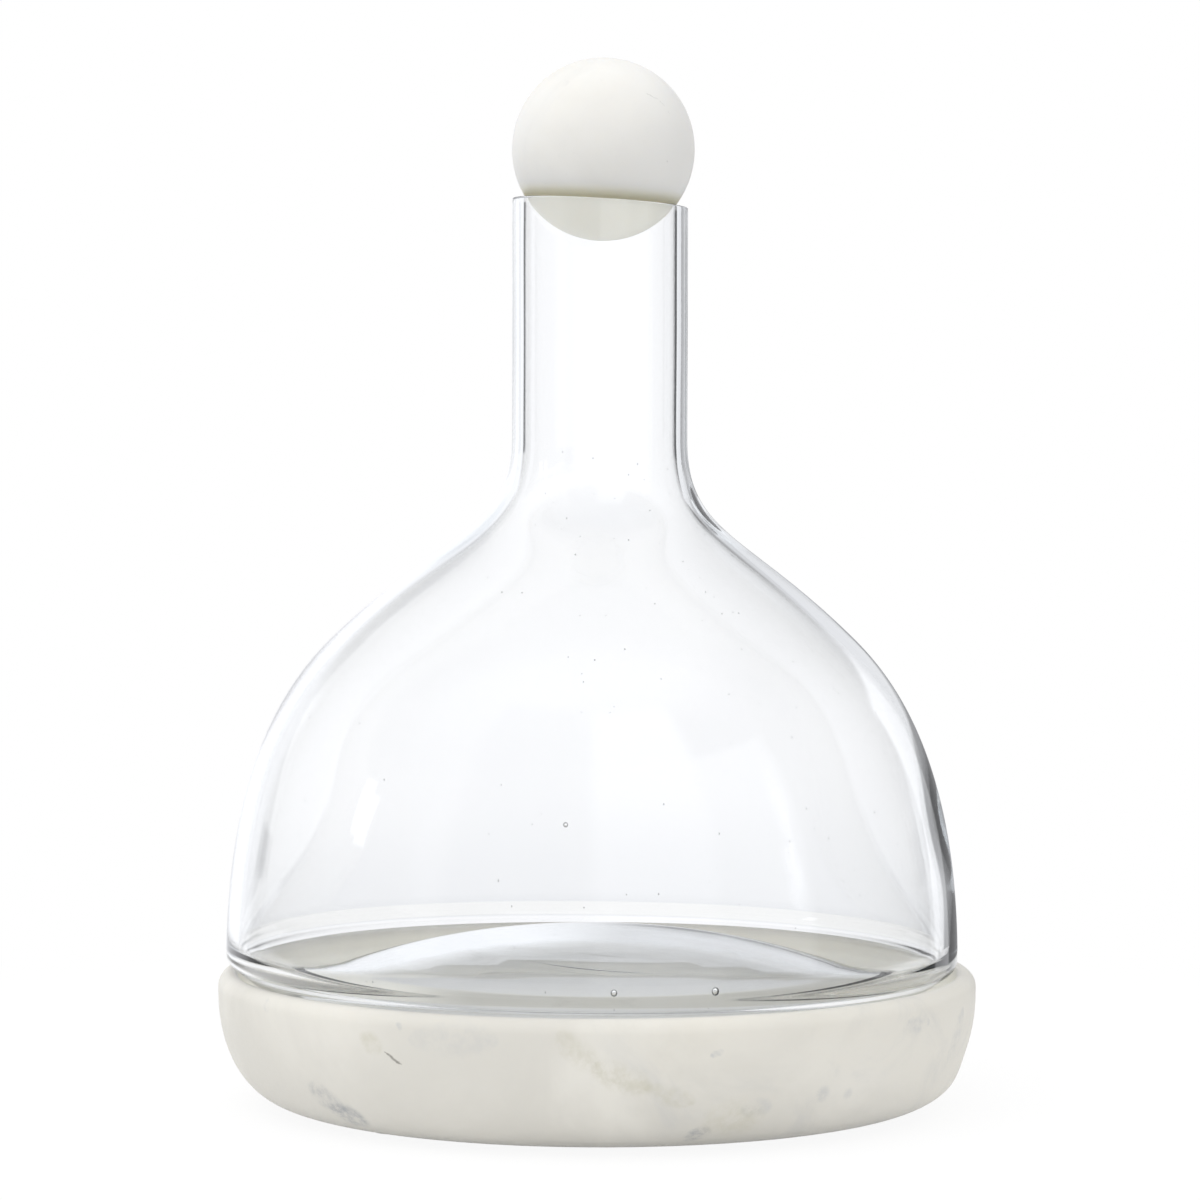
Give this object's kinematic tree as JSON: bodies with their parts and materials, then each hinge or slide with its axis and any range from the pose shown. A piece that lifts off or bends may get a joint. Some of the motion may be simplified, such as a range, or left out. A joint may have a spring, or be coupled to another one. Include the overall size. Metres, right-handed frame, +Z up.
{
  "type": "wine carafe",
  "caption": "Clear blown-glass wine carafe with a straight neck, a wide bell-shaped body and a pushed-up bottom, closed by a marble ball and standing in a shallow marble base.",
  "frame": {"origin": "on the table plane, under the centre of the base's outline", "axes": "+Z up along the neck, -Y towards the viewer of the picture, +X to the viewer's right"},
  "size_m": [0.208, 0.208, 0.286],
  "materials": {
    "clear_glass": "clear blown glass with slight waviness and small seeds",
    "ball_marble": "honed off-white marble",
    "base_marble": "honed white marble with sparse grey veins",
    "pad_rubber": "pale matte rubber"
  },
  "bodies": {
    "base": {"marble_base": "base_marble", "foot_pad_1": "pad_rubber", "foot_pad_2": "pad_rubber", "foot_pad_3": "pad_rubber", "foot_pad_4": "pad_rubber"},
    "carafe": {"glass_carafe": "clear_glass"},
    "stopper": {"ball_stopper": "ball_marble"}
  },
  "joints": [
    {"name": "carafe_lift", "type": "slide", "parent": "base", "child": "carafe", "axis": [0, 0, 1], "range_m": [0, 0.06]},
    {"name": "stopper_lift", "type": "slide", "parent": "carafe", "child": "stopper", "axis": [0, 0, 1], "range_m": [0, 0.05]}
  ]
}
